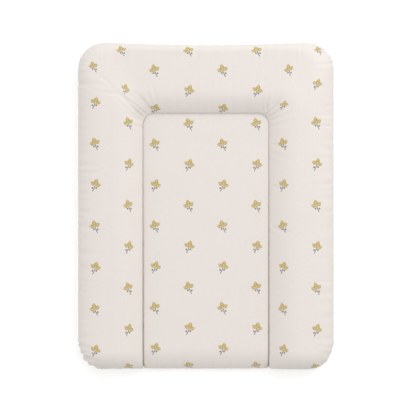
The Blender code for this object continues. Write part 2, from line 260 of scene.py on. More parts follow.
def smooth_step(share):
    """The same share between 0 and 1, with a soft start and a soft end."""
    share = np.clip(share, 0, 1)
    return share * share * (3 - 2 * share)


def head_reach(across):
    """Distance from the head weld that matches a distance from a side weld."""
    beyond = np.maximum(0, across - side_width)
    return np.where(across <= 0, across, (across - beyond) * WELD_TO_HEAD_EDGE / side_width + beyond)


def across_at_head(reach):
    """The inverse of head_reach."""
    beyond = np.maximum(0, reach - WELD_TO_HEAD_EDGE)
    return np.where(reach <= 0, reach, (reach - beyond) * side_width / WELD_TO_HEAD_EDGE + beyond)


def across_weld(x, y):
    """Distance outwards from the nearest weld line. It is negative on the pad."""
    return np.maximum(np.abs(x) - weld_x, across_at_head(y - weld_y))


def inside_outline(x, y):
    """Distance inwards from the outline. It is negative on the wall below the bulge."""
    return np.minimum(side_width - across_weld(x, y), y + half_length)


def corner_radius(across):
    """Corner radius of the ring round the pad at a distance from the weld."""
    share = np.clip(across / side_width, 0, 1)
    between = WELD_CORNER_RADIUS + (OUTLINE_CORNER_RADIUS - WELD_CORNER_RADIUS) * share
    beyond = np.maximum(0, across - side_width)
    return np.where(across <= 0, np.maximum(0, WELD_CORNER_RADIUS + across), between + beyond)


def in_plan(x, y, drawn_in):
    """Where flat places x, y of a sheet lie in plan, when they are drawn in from the outline."""
    across = across_weld(x, y)
    at_foot = y < foot_corner_y
    radius = corner_radius(across)
    centre_x = np.where(at_foot, corner_x, weld_x + across - radius)
    centre_y = np.where(at_foot, foot_corner_y, weld_y + head_reach(across) - radius)
    way = np.where(at_foot, -1, 1)
    past_x = np.abs(x) - centre_x
    past_y = way * (y - centre_y)
    further = np.maximum(past_x, past_y)
    nearer = np.minimum(past_x, past_y)
    lean = np.where(nearer > 0, nearer / np.maximum(further, FILM), 0) * np.pi / 4
    lean = np.where(past_y > past_x, np.pi / 2 - lean, lean)
    past_x = np.where(nearer > 0, further * np.cos(lean), past_x) - drawn_in * np.cos(lean)
    past_y = np.where(nearer > 0, further * np.sin(lean), past_y) - drawn_in * np.sin(lean)
    head_share = np.clip(across_at_head(y - weld_y) / side_width, 0, 1)
    head_draw_in = HEAD_EDGE_DRAW_IN * np.maximum(0, 1 - (x / crown_x) ** 2) * head_share
    return np.sign(x) * (centre_x + past_x), centre_y + way * past_y - head_draw_in


def down_the_pad(y):
    """0 at the head weld, 1 at the foot end."""
    return np.clip((weld_y - y) / (weld_y + half_length), 0, 1)


def weld_line_height(y, inside, at_head=0.0):
    """Height of the cover along the weld, which sinks to the foot end and drops where it runs out."""
    along_pad = WELD_HEIGHT - WELD_FALL * down_the_pad(y) + HEAD_WELD_LIFT * at_head
    from_end = smooth_step((inside - WELD_END_FLAT) / WELD_END_RUN)
    return WELD_END_HEIGHT + (along_pad - WELD_END_HEIGHT) * from_end


def above_bulge(rise):
    """Share of a section's height, where the roll in from the outline has this rise."""
    return BULGE_SHARE + (1 - BULGE_SHARE) * rise


def weld_level(y, inside):
    """Height of the cover's skin on the weld itself."""
    rise = roll(inside, PAD_FOOT_RUN, ROLL_POWER, PAD_FOOT_ROUNDNESS)
    return SEAM_HEIGHT + (weld_line_height(y, inside) - SEAM_HEIGHT) * above_bulge(rise)


def towards_head(x, y):
    """0 where a side weld is the nearest, 1 where the head weld is, and in between round a corner."""
    past_side = np.abs(x) - weld_x
    past_head = across_at_head(y - weld_y)
    furthest = np.maximum(np.maximum(np.abs(past_side), np.abs(past_head)), FILM)
    return smooth_step(0.5 + (past_head - past_side) / (2 * furthest))


def towards_foot(x, y):
    """0 where a side's outline is the nearest, 1 where the foot end's is, in between at a corner."""
    past_side = OUTLINE_CORNER_RADIUS - (side_width - across_weld(x, y))
    past_foot = OUTLINE_CORNER_RADIUS - (y + half_length)
    furthest = np.maximum(np.maximum(np.abs(past_side), np.abs(past_foot)), FILM)
    return smooth_step(0.5 + (past_foot - past_side) / (2 * furthest))


def beside_weld(distance, lip_run, lip_height, run, full_height, weld_line):
    """Height at a distance from the weld: a steep lip that closes the crease, then a slow rise."""
    lip = weld_line + (lip_height - weld_line) * roll(distance, lip_run, LIP_POWER)
    return lip + (full_height - lip_height) * roll(distance, run, ROLL_POWER)


def smooth_cover(x, y):
    """Where the flat places x, y of the cover lie on a mat without a wrinkle."""
    across = across_weld(x, y)
    inside = inside_outline(x, y)
    at_head = towards_head(x, y)
    weld_line = weld_line_height(y, inside, at_head)
    from_weld = np.abs(across) - WELD_HALF_WIDTH
    side_lip_run = HIGH_LIP_RUN + (LOW_LIP_RUN - HIGH_LIP_RUN) * down_the_pad(y)
    lip_run = side_lip_run + (HEAD_LIP_RUN - side_lip_run) * at_head
    on_pad = beside_weld(from_weld, lip_run, PAD_LIP_HEIGHT, PAD_EDGE_RUN, pad_height, weld_line)
    crown = crown_height - HEAD_CROWN_DROP * at_head
    inner_run = BOLSTER_INNER_RUN + (HEAD_INNER_RUN - BOLSTER_INNER_RUN) * at_head
    lip_height = BOLSTER_LIP_HEIGHT - HEAD_LIP_DROP * at_head - RIGHT_LIP_DROP * (1 - at_head) * (x > 0)
    on_bolster = beside_weld(from_weld, lip_run, lip_height, inner_run, crown, weld_line)
    height = np.where(across < 0, on_pad, on_bolster)
    down_wall = np.clip(-inside / LOWER_WALL, 0, 1)
    pad_foot = roll(inside, PAD_FOOT_RUN, ROLL_POWER, PAD_FOOT_ROUNDNESS)
    bolster_foot = roll(inside, BOLSTER_FOOT_RUN, ROLL_POWER, BOLSTER_FOOT_ROUNDNESS)
    foot_rise = np.where(across < 0, pad_foot, bolster_foot)
    outer_run_here = outer_run + (HEAD_OUTER_RUN - outer_run) * at_head
    side_rise = roll(inside, outer_run_here, EDGE_ROLL_POWER, EDGE_ROUNDNESS)
    turn = towards_foot(x, y)
    rise = side_rise + (foot_rise - side_rise) * turn
    share = np.where(inside < 0, BULGE_SHARE * (1 - down_wall), above_bulge(rise))
    z = SEAM_HEIGHT + (height - SEAM_HEIGHT) * share
    full = np.where(across < 0, pad_height, (weld_line + crown_height) / 2)
    filled = np.minimum(1, (height - weld_line) / (full - weld_line))
    notch = np.where(inside < 0, 1 - down_wall, np.maximum(0, 1 - inside / NOTCH_RUN))
    drawn_in = SEAM_INSET * (down_wall**2 + (1 - filled) * notch)
    drawn_in += np.maximum(0, -inside) + np.maximum(0, -inside - LOWER_WALL)
    left_room = np.interp(turn, FOOT_TURNS, LEFT_FOOT_ROOM)
    foot_room = np.where(x < 0, left_room, np.interp(turn, FOOT_TURNS, RIGHT_FOOT_ROOM))
    pucker_room = PUCKER_ROOM + foot_room * np.clip(across / PUCKER_ROOM_RUN, 0, 1)
    drawn_in += pucker_room * (1 - down_wall**2) * np.clip(1 - inside / PUCKER_ROOM_RUN, 0, 1)
    plan_x, plan_y = in_plan(x, y, drawn_in)
    return np.stack([plan_x, plan_y, z], axis=-1)


def length_along(section):
    """Length of film from the first place of a section to each of its places."""
    steps = np.linalg.norm(np.diff(section, axis=0), axis=1)
    return np.concatenate([[0], np.cumsum(steps)])


def even_places(start, end, section, spacing):
    """Places from start to end that lie evenly along a section of the filled cover."""
    places = np.linspace(start, end, SECTION_PLACES)
    length = length_along(section(places))
    count = max(1, round(length[-1] / spacing))
    return np.interp(np.linspace(0, length[-1], count + 1), length, places)


def across_the_middle(x):
    return smooth_cover(x, np.zeros_like(x))


def along_the_middle(y):
    return smooth_cover(np.zeros_like(y), y)


def along_a_side(y):
    return smooth_cover(np.full_like(y, crown_x), y)


seam_x = half_width + LOWER_WALL
seam_y = half_length + LOWER_WALL
foot_crown = BOLSTER_FOOT_RUN - half_length
creased_x = weld_x - CREASED_BESIDE_WELD
creased_y = weld_y - CREASED_BESIDE_WELD
head_crown_y = weld_y + WELD_HALF_WIDTH + HEAD_INNER_RUN
right_columns = np.concatenate(
    [
        even_places(0, creased_x, across_the_middle, PAD_SPACING)[:-1],
        even_places(creased_x, weld_x - WELD_HALF_WIDTH, across_the_middle, CREASED_SPACING),
        even_places(weld_x + WELD_HALF_WIDTH, crown_x, across_the_middle, CREASED_SPACING)[:-1],
        even_places(crown_x, seam_x, across_the_middle, EDGE_SPACING),
        [seam_x + SEAM_ALLOWANCE],
    ]
)
cover_columns = np.concatenate([-right_columns[:0:-1], right_columns])
cover_rows = np.concatenate(
    [
        [-seam_y - SEAM_ALLOWANCE],
        even_places(-seam_y, foot_crown, along_a_side, EDGE_SPACING)[:-1],
        even_places(foot_crown, creased_y, along_the_middle, LENGTH_SPACING)[:-1],
        even_places(creased_y, weld_y - WELD_HALF_WIDTH, along_the_middle, CREASED_SPACING),
        even_places(weld_y + WELD_HALF_WIDTH, head_crown_y, along_the_middle, CREASED_SPACING)[:-1],
        even_places(head_crown_y, seam_y, along_the_middle, EDGE_SPACING),
        [seam_y + SEAM_ALLOWANCE],
    ]
)
cover_x, cover_y = np.meshgrid(cover_columns, cover_rows)
cover_places = smooth_cover(cover_x, cover_y)


def laid_sheet(name, places):
    """A sheet of squares with one corner at each place, and the row and column of each corner."""
    row_count, column_count = places.shape[:2]
    bm = bmesh.new()
    bmesh.ops.create_grid(bm, x_segments=column_count - 1, y_segments=row_count - 1, size=0.5)
    mesh = bpy.data.meshes.new(name)
    bm.to_mesh(mesh)
    bm.free()
    unit = np.empty(len(mesh.vertices) * 3)
    mesh.vertices.foreach_get("co", unit)
    unit = unit.reshape(-1, 3) + 0.5
    column = np.rint(unit[:, 0] * (column_count - 1)).astype(int)
    row = np.rint(unit[:, 1] * (row_count - 1)).astype(int)
    mesh.vertices.foreach_set("co", places[row, column].ravel())
    piece = bpy.data.objects.new(name, mesh)
    bpy.context.scene.collection.objects.link(piece)
    return piece, row, column


def finish_piece(piece, node):
    """Shades a piece, and lets it ride in place of the solid node that it stands for."""
    piece.data.shade_smooth()
    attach(piece, "root")
    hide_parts(node)


# Long creases start at the weld and at the left foot corner. Fine puckers stand on the head weld and
# all along the seam.
WRINKLE_SEED = 7
CREASES = (
    # from x, from y, to x, to y, depth, half width, in millimetres
    (-131, 186, -205, 257, 3.0, 3.2),
    (-126, 195, -196, 250, 2.4, 2.6),
    (-118, 206, -160, 252, 1.0, 4.0),
    (-113, 212, -132, 262, 1.0, 3.6),
    (-104, 214, -116, 268, 0.9, 3.4),
    (-134, 178, -186, 200, 0.9, 4.4),
    (-134, 166, -170, 176, 0.8, 4.2),
    (-190, 246, -252, 268, 0.8, 5.0),
    (-196, 252, -250, 292, 0.8, 5.0),
    (-186, 236, -250, 244, 0.8, 5.0),
    (129, 202, 134, 264, 2.2, 3.6),
    (146, 208, 184, 284, 2.4, 3.2),
    (117, 208, 122, 256, 0.9, 3.0),
    (134, 198, 176, 238, 1.0, 3.4),
    (135, 190, 206, 226, 0.9, 4.2),
    (135, 180, 198, 204, 0.9, 4.0),
    (136, 168, 186, 184, 0.9, 4.2),
    (140, 132, 182, 118, 0.8, 4.6),
    (140, 112, 178, 100, 0.8, 4.4),
    (127, 194, 139, 205, 3.0, 2.7),
    (142, 44, 176, 32, 0.8, 4.4),
    (129, 187, 142, 198, 3.0, 2.7),
    (142, -44, 190, -60, 0.8, 4.8),
    (131, 180, 144, 190, 2.6, 2.7),
    (-280, -290, -234, -302, 3.2, 4.0),
    (-271, -315, -222, -328, 5.6, 3.6),
    (-263, -328, -218, -336, 4.4, 3.2),
    (-252, -340, -200, -341, 5.0, 3.2),
)
CREASE_START_SHARE = 0.08
CREASE_SHOULDER = 0.45
CREASE_BEND_SHARE = 0.02
CREASE_START_WIDTH_SHARE = 0.6
CREASE_WIDENING_SHARE = 0.7
WELD_FADE_RUN = 0.003
SEAM_FADE_RUN = 0.012
HEAD_PUCKERS = 26
HEAD_PUCKER_DEPTH = 0.0010
HEAD_PUCKER_REACH = 0.034
HEAD_PUCKER_START = 0.006
HEAD_PLACE_SHARES = (0.15, 0.85)
HEAD_REACH_SHARES = (0.5, 1.4)
HEAD_LEAN_SHARES = (0.0, 0.25)
HEAD_DEPTH_SHARES = (0.4, 1.2)
HEAD_WIDTH_SHARES = (0.6, 1.0)
EDGE_PUCKERS = 210
EDGE_PUCKER_DEPTH = 0.0010
EDGE_PUCKER_REACH = 0.022
EDGE_PUCKER_START = 0.012
EDGE_SHARE_AT_OUTLINE = 0.40
EDGE_PLACE_SHARES = (0.1, 0.9)
EDGE_DEPTH_SHARES = (0.3, 1.2)
CORNER_PLACE_SHARES = (0.2, 0.8)
CORNER_DEPTH_SHARES = (0.5, 1.0)
PUCKER_REACH_SHARES = (0.4, 1.6)
PUCKER_WIDTH_SHARES = (0.7, 1.4)
CORNER_PUCKERS = (
    # corner (0 and 1 head end right and left, 2 and 3 foot end left and right), how many, depth,
    # reach inwards, half width
    (0, 9, 0.0013, 0.022, 0.0042),
    (1, 9, 0.0007, 0.022, 0.0042),
    (2, 12, 0.0014, 0.014, 0.0030),
    (3, 13, 0.0005, 0.010, 0.0030),
)
PUCKER_HALF_WIDTH = 0.0042
MM = 0.001
ROUNDING = 1e-6
NEXT_TO_NOTHING = 1e-12

chance = np.random.default_rng(WRINKLE_SEED)


def groove(beside, half_width):
    """A valley of depth 1 with a soft shoulder on both sides."""
    valley = np.exp(-((beside / half_width) ** 2))
    shoulders = np.exp(-(((np.abs(beside) - 2 * half_width) / half_width) ** 2))
    return valley - CREASE_SHOULDER * shoulders


def creases(places):
    """Depth of the long creases that start at the welds, at each place."""
    depth = np.zeros(places.shape[:2])
    for start_x, start_y, end_x, end_y, deep, half_width_mm in CREASES:
        start = np.array([start_x, start_y]) * MM
        way = np.array([end_x, end_y]) * MM - start
        length = np.linalg.norm(way)
        way = way / length
        past = places[..., :2] - start
        along = (past @ way) / length
        bend = chance.normal(0, CREASE_BEND_SHARE) * length * np.sin(np.pi * np.clip(along, 0, 1))
        beside = past @ np.array([-way[1], way[0]]) - bend
        fade = smooth_step(along / CREASE_START_SHARE) * (1 - smooth_step(along)) * (along > 0)
        widening = CREASE_START_WIDTH_SHARE + CREASE_WIDENING_SHARE * np.clip(along, 0, 1)
        depth += deep * MM * fade * groove(beside, half_width_mm * MM * widening)
    return depth


def head_puckers(x, y):
    """Depth of the fine puckers that stand on the head weld."""
    beyond = np.maximum(0, across_at_head(y - weld_y))
    on_head = (y > weld_y) & (np.abs(x) < weld_x)
    depth = np.zeros_like(x)
    step = 2 * weld_x / HEAD_PUCKERS
    for number in range(HEAD_PUCKERS):
        place = -weld_x + step * (number + chance.uniform(*HEAD_PLACE_SHARES))
        reach = HEAD_PUCKER_REACH * chance.uniform(*HEAD_REACH_SHARES)
        lean = place / weld_x * chance.uniform(*HEAD_LEAN_SHARES)
        deep = HEAD_PUCKER_DEPTH * chance.uniform(*HEAD_DEPTH_SHARES)
        half_width_here = PUCKER_HALF_WIDTH * chance.uniform(*HEAD_WIDTH_SHARES)
        fade = smooth_step(beyond / HEAD_PUCKER_START) * np.exp(-((beyond / reach) ** 2))
        depth += deep * on_head * fade * groove(x - place - lean * beyond, half_width_here)
    return depth


def along_outline(places):
    """How far along the outline each place lies, anticlockwise from the foot of the right side."""
    corner_y = -foot_corner_y
    x, y = places[..., 0], places[..., 1]
    core_x, core_y = np.clip(x, -corner_x, corner_x), np.clip(y, -corner_y, corner_y)
    turn = np.arctan2(y - core_y, x - core_x)
    turn = np.where(turn < -np.pi / 4 - ROUNDING, turn + 2 * np.pi, turn)
    bent = OUTLINE_CORNER_RADIUS * turn
    walk = np.where(turn > np.pi / 4, 2 * corner_y + corner_x - core_x, corner_y + core_y)
    walk = np.where(turn > 3 * np.pi / 4, 3 * corner_y + 2 * corner_x - core_y, walk)
    walk = np.where(turn > 5 * np.pi / 4, 4 * corner_y + 3 * corner_x + core_x, walk)
    return walk + bent


def edge_puckers(places, inside):
    """Depth of the puckers that run inwards from the seam all round the mat."""
    around = along_outline(places)
    corner_y = -foot_corner_y
    whole = 4 * (corner_y + corner_x) + 2 * np.pi * OUTLINE_CORNER_RADIUS
    bend = np.pi / 2 * OUTLINE_CORNER_RADIUS
    right_side = 2 * corner_y + bend
    head_end = 2 * corner_x + bend
    corner_ends = (
        right_side,
        right_side + head_end,
        2 * right_side + head_end,
        2 * right_side + 2 * head_end,
    )
    puckers = []
    for number in range(EDGE_PUCKERS):
        place = whole * (number + chance.uniform(*EDGE_PLACE_SHARES)) / EDGE_PUCKERS
        deep = EDGE_PUCKER_DEPTH * chance.uniform(*EDGE_DEPTH_SHARES)
        puckers.append((place, deep, EDGE_PUCKER_REACH, PUCKER_HALF_WIDTH, EDGE_SHARE_AT_OUTLINE))
    for corner, count, corner_depth, corner_reach, corner_half_width in CORNER_PUCKERS:
        for number in range(count):
            along_bend = (number + chance.uniform(*CORNER_PLACE_SHARES)) / count
            place = corner_ends[corner] - bend * along_bend
            deep = corner_depth * chance.uniform(*CORNER_DEPTH_SHARES)
            puckers.append((place, deep, corner_reach, corner_half_width, 1.0))
    depth = np.zeros_like(inside)
    for place, deep, mean_reach, mean_half_width, share_at_outline in puckers:
        reach = mean_reach * chance.uniform(*PUCKER_REACH_SHARES)
        half_width_here = mean_half_width * chance.uniform(*PUCKER_WIDTH_SHARES)
        beside = (around - place + whole / 2) % whole - whole / 2
        fade = np.exp(-((np.maximum(0, inside) / reach) ** 2))
        fade *= share_at_outline + (1 - share_at_outline) * smooth_step(inside / EDGE_PUCKER_START)
        depth += deep * fade * groove(beside, half_width_here)
    return depth


def outwards(places):
    """The way out of the sheet at each place."""
    way = np.cross(np.gradient(places, axis=1), np.gradient(places, axis=0))
    return way / np.maximum(np.linalg.norm(way, axis=2, keepdims=True), NEXT_TO_NOTHING)


cover_inside = inside_outline(cover_x, cover_y)
cover_across = across_weld(cover_x, cover_y)
wrinkle_depth = creases(cover_places) + head_puckers(cover_x, cover_y)
wrinkle_depth += edge_puckers(cover_places, cover_inside)
wrinkle_depth *= smooth_step((cover_inside + LOWER_WALL) / SEAM_FADE_RUN)
wrinkle_depth *= smooth_step((np.abs(cover_across) - WELD_HALF_WIDTH) / WELD_FADE_RUN)
wrinkled_places = cover_places - outwards(cover_places) * wrinkle_depth[..., None]

cover, cover_row, cover_column = laid_sheet("cover_top_film", wrinkled_places)

# The film is a touch too large and is pressed out from inside, so it settles, held at weld and seam.
# The cloth holds a point by the fourth power of its weight.
CLOTH_FRAMES = 8
CLOTH_QUALITY = 4
CLOTH_GOAL = 0.02
WEIGHT_POWER = 4
HELD_MARGIN = 0.01
CLOTH_MASS = 0.0005
CLOTH_STRETCH = 15.0
CLOTH_SHEAR = 5.0
CLOTH_BEND = 2.0
CLOTH_PRESSURE = 4.0
CLOTH_EXCESS = 0.006
CLOTH_CAP = 0.006

hold = cover.vertex_groups.new(name="hold")
at_weld = np.abs(cover_across) < WELD_HALF_WIDTH * (1 + HELD_MARGIN)
at_seam = cover_inside < -LOWER_WALL * (1 - HELD_MARGIN)
hold_weight = np.where(at_weld | at_seam, 1.0, CLOTH_GOAL ** (1 / WEIGHT_POWER))
hold_weight = hold_weight[cover_row, cover_column]
for weight in np.unique(hold_weight):
    hold.add(np.nonzero(hold_weight == weight)[0].tolist(), float(weight), "REPLACE")
cloth = cover.modifiers.new("cloth", "CLOTH")
cloth.settings.quality = CLOTH_QUALITY
cloth.settings.mass = CLOTH_MASS
cloth.settings.tension_stiffness = CLOTH_STRETCH
cloth.settings.compression_stiffness = CLOTH_STRETCH
cloth.settings.shear_stiffness = CLOTH_SHEAR
cloth.settings.bending_stiffness = CLOTH_BEND
cloth.settings.vertex_group_mass = "hold"
cloth.settings.pin_stiffness = 1.0
cloth.settings.shrink_min = -CLOTH_EXCESS
cloth.settings.use_pressure = True
cloth.settings.uniform_pressure_force = CLOTH_PRESSURE
cloth.settings.effector_weights.gravity = 0.0
cloth.collision_settings.use_collision = False
cloth.collision_settings.use_self_collision = False
cloth.point_cache.frame_end = CLOTH_FRAMES
for step in range(1, CLOTH_FRAMES + 1):
    bpy.context.scene.frame_set(step)
settled = cover.evaluated_get(bpy.context.evaluated_depsgraph_get())
settled_places = np.empty(len(cover.data.vertices) * 3)
settled.data.vertices.foreach_get("co", settled_places)
cover.modifiers.remove(cloth)
start_places = wrinkled_places[cover_row, cover_column]
moved = settled_places.reshape(-1, 3) - start_places
distance = np.linalg.norm(moved, axis=1, keepdims=True)
moved *= np.minimum(1, CLOTH_CAP / np.maximum(distance, NEXT_TO_NOTHING))
cover.data.vertices.foreach_set("co", (start_places + moved).ravel())
cover.vertex_groups.remove(hold)
bpy.context.scene.frame_set(1)

# The print lies on the film as it was rolled out flat, and the weld's crease gets a greyer, darker line of
# painted shade.
WELD_SHADE_RUN = 0.0012

section_x = np.linspace(0, seam_x + SEAM_ALLOWANCE, SECTION_PLACES)
film_over_plan = length_along(across_the_middle(section_x)) - section_x


def unrolled(x, y):
    """Where the flat places x, y lie on the film once it is taken off and rolled out flat."""
    past_middle = np.minimum(weld_x + across_weld(x, y), crown_x)
    up_to_crown = np.interp(past_middle, section_x, film_over_plan)
    over_crown = np.interp(half_width - inside_outline(x, y), section_x, film_over_plan)
    over_crown = np.maximum(0, over_crown - np.interp(crown_x, section_x, film_over_plan))
    turn = towards_head(x, y) * np.pi / 2
    film_x, film_y = in_plan(x, y, -over_crown)
    film_x += np.sign(x) * up_to_crown * np.cos(turn)
    return np.stack([film_x, film_y + up_to_crown * np.sin(turn)], axis=-1)


cover_unrolled = unrolled(cover_x, cover_y)
print_map = cover.data.uv_layers.new(name="unrolled")
corner_vertex = np.empty(len(cover.data.loops), dtype=np.int32)
cover.data.loops.foreach_get("vertex_index", corner_vertex)
at_corner = cover_unrolled[cover_row[corner_vertex], cover_column[corner_vertex]]
print_map.data.foreach_set("uv", at_corner.ravel())

# Painted shade: how much of the greyer crease colour each place gets, full on the weld and gone a little
# beside it.
weld_shade = np.clip(1 - (np.abs(cover_across) - WELD_HALF_WIDTH) / WELD_SHADE_RUN, 0, 1)
weld_shade_mark = cover.data.attributes.new("weld_shade", "FLOAT", "POINT")
weld_shade_mark.data.foreach_set("value", weld_shade[cover_row, cover_column])
flat_width = length_along(across_the_middle(cover_columns))[-1]
flat_length = length_along(along_the_middle(cover_rows))[-1]


def thicken_film(piece):
    """Gives a sheet the thickness of the film, on its inner side."""
    film_thickness = piece.modifiers.new("film", "SOLIDIFY")
    film_thickness.thickness = FILM
    film_thickness.offset = -1.0


thicken_film(cover)
finish_piece(cover, "cover_top")

# Coated film with a fine grain, and its print: sprigs of three leaves and two berries in rows that
# drop by half a step from column to column, every second one mirrored.
FILM_COLOUR = (0.828, 0.768, 0.722, 1.0)
# The next colour is painted shade: a greyer, darker tint along the weld's crease.
WELD_SHADE_COLOUR = (0.77, 0.74, 0.71, 1.0)
MUSTARD = (0.545, 0.415, 0.135, 1.0)
DARK_GREY = (0.188, 0.181, 0.175, 1.0)
PRINT_COLUMN_PITCH = 0.072
PRINT_ROW_PITCH = 0.087
PRINT_TILT = radians(17)
LEAF_HALF_LENGTH = 0.0073
LEAF_HALF_WIDTH = 0.0048
LEAF_FROM_FORK = 0.0082
LEAF_SPREAD = radians(66)
SIDE_LEAF_SIZE = 0.86
LEAF_FULLER_BELOW = 0.30
LEAF_RIB_HALF_WIDTH = 0.00030
STEM_FOOT = -0.0135
STEM_HALF_WIDTH = 0.00085
STEM_BOW = 9.0
BERRY_RADIUS = 0.0019
BERRY_PLACES = ((0.0040, -0.0066), (-0.0038, -0.0040))
INK_EDGE = 0.07
GRAIN_SIZE = 0.0007
GRAIN_DEPTH = 0.00003
FILM_ROUGHNESS = 0.46
FILM_ROUGHNESS_RANGE = 0.10
FILM_SHEEN = 0.4
FILM_DARKER_SHARE = 0.975
FILM_CLOUD_SCALE = 14.0
FILM_CLOUD_DETAIL = 3.0

printed, print_nodes, print_links, film_shader = new_finish("printed_cream_film")


def clouded(nodes, links, place, colour, darker_share, scale, detail):
    """A colour that drifts softly to a darker share of it, and the cloudiness that it follows."""
    cloud = nodes.new("ShaderNodeTexNoise")
    cloud.inputs["Scale"].default_value = scale
    cloud.inputs["Detail"].default_value = detail
    links.new(place, cloud.inputs["Vector"])
    tone = nodes.new("ShaderNodeMixRGB")
    tone.inputs["Color1"].default_value = colour
    tone.inputs["Color2"].default_value = tuple(part * darker_share for part in colour[:3]) + (1.0,)
    links.new(cloud.outputs["Fac"], tone.inputs["Fac"])
    return tone.outputs[0], cloud.outputs["Fac"]


def embossed(nodes, links, height, depth, shader):
    """Lets a height pattern stand out on a finish by a depth in metres."""
    bump = nodes.new("ShaderNodeBump")
    bump.inputs["Distance"].default_value = depth
    links.new(height, bump.inputs["Height"])
    links.new(bump.outputs["Normal"], shader.inputs["Normal"])


def overprinted(under, over, share):
    """The print's colours so far, with another colour over them where its share says."""
    mix = print_nodes.new("ShaderNodeMixRGB")
    mix.inputs["Color2"].default_value = over
    print_links.new(share, mix.inputs["Fac"])
    print_links.new(under, mix.inputs["Color1"])
    return mix.outputs[0]


def ink(operation, *values):
    return number(print_nodes, print_links, operation, *values)


def turned(across, along, turn):
    """A motif's own axes, turned by an angle."""
    side = ink("ADD", ink("MULTIPLY", across, np.cos(turn)), ink("MULTIPLY", along, np.sin(turn)))
    up = ink("SUBTRACT", ink("MULTIPLY", along, np.cos(turn)), ink("MULTIPLY", across, np.sin(turn)))
    return side, up


def leaf(across, along, turn, size):
    """1 on a leaf that grows from the sprig's fork at a turn, 0 beside it and on its bare rib."""
    side, up = turned(across, along, turn)
    share = ink("DIVIDE", ink("SUBTRACT", up, LEAF_FROM_FORK * size), LEAF_HALF_LENGTH * size)
    fullness = ink("SUBTRACT", 1.0, ink("MULTIPLY", share, share))
    lower_half = ink("SUBTRACT", 1.0, ink("MULTIPLY", share, LEAF_FULLER_BELOW))
    fullness = ink("MULTIPLY", fullness, ink("MAXIMUM", lower_half, LEAF_FULLER_BELOW))
    from_rib = ink("ABSOLUTE", side)
    inside = ink("SUBTRACT", fullness, ink("DIVIDE", from_rib, LEAF_HALF_WIDTH * size))
    inside = ink("MINIMUM", ink("MAXIMUM", ink("DIVIDE", inside, INK_EDGE), 0.0), 1.0)
    return ink("MULTIPLY", inside, ink("GREATER_THAN", from_rib, LEAF_RIB_HALF_WIDTH))


sheet_place = print_nodes.new("ShaderNodeUVMap")
sheet_place.uv_map = "unrolled"
sheet_axes = print_nodes.new("ShaderNodeSeparateXYZ")
print_links.new(sheet_place.outputs["UV"], sheet_axes.inputs[0])
columns_along = ink("DIVIDE", sheet_axes.outputs["X"], PRINT_COLUMN_PITCH)
column_number = ink("FLOOR", columns_along)
half_drop = ink("MULTIPLY", ink("FLOORED_MODULO", column_number, 2.0), 0.5)
rows_along = ink("ADD", ink("DIVIDE", sheet_axes.outputs["Y"], PRINT_ROW_PITCH), half_drop)
row_number = ink("FLOOR", rows_along)
motif_x = ink("SUBTRACT", ink("SUBTRACT", columns_along, column_number), 0.5)
motif_x = ink("MULTIPLY", motif_x, PRINT_COLUMN_PITCH)
motif_y = ink("SUBTRACT", ink("SUBTRACT", rows_along, row_number), 0.5)
motif_y = ink("MULTIPLY", motif_y, PRINT_ROW_PITCH)
mirrored = ink("FLOORED_MODULO", ink("ADD", row_number, column_number), 2.0)
motif_x = ink("MULTIPLY", motif_x, ink("SUBTRACT", ink("MULTIPLY", mirrored, 2.0), 1.0))
motif_x, motif_y = turned(motif_x, motif_y, PRINT_TILT)

top_leaf = leaf(motif_x, motif_y, 0.0, 1.0)
left_leaf = leaf(motif_x, motif_y, LEAF_SPREAD, SIDE_LEAF_SIZE)
right_leaf = leaf(motif_x, motif_y, -LEAF_SPREAD, SIDE_LEAF_SIZE)
leaf_ink = ink("MAXIMUM", top_leaf, ink("MAXIMUM", left_leaf, right_leaf))
bow = ink("MULTIPLY", ink("MULTIPLY", motif_y, motif_y), STEM_BOW)
beside_stem = ink("LESS_THAN", ink("ABSOLUTE", ink("SUBTRACT", motif_x, bow)), STEM_HALF_WIDTH)
below_fork = ink("LESS_THAN", motif_y, LEAF_FROM_FORK - LEAF_HALF_LENGTH)
above_foot = ink("GREATER_THAN", motif_y, STEM_FOOT)
grey_ink = ink("MULTIPLY", ink("MULTIPLY", beside_stem, below_fork), above_foot)
for berry_x, berry_y in BERRY_PLACES:
    past_x = ink("SUBTRACT", motif_x, berry_x)
    past_y = ink("SUBTRACT", motif_y, berry_y)
    past = ink("SQRT", ink("ADD", ink("MULTIPLY", past_x, past_x), ink("MULTIPLY", past_y, past_y)))
    grey_ink = ink("MAXIMUM", grey_ink, ink("LESS_THAN", past, BERRY_RADIUS))

film_tone, cloudiness = clouded(
    print_nodes, print_links, sheet_place.outputs["UV"], FILM_COLOUR,
    FILM_DARKER_SHARE, FILM_CLOUD_SCALE, FILM_CLOUD_DETAIL,
)
# Painted shade: the weld's crease is tinted greyer and darker.
weld_shade_share = print_nodes.new("ShaderNodeAttribute")
weld_shade_share.attribute_name = "weld_shade"
with_weld_shade = overprinted(film_tone, WELD_SHADE_COLOUR, weld_shade_share.outputs["Fac"])
with_leaves = overprinted(with_weld_shade, MUSTARD, leaf_ink)
with_sprigs = overprinted(with_leaves, DARK_GREY, grey_ink)

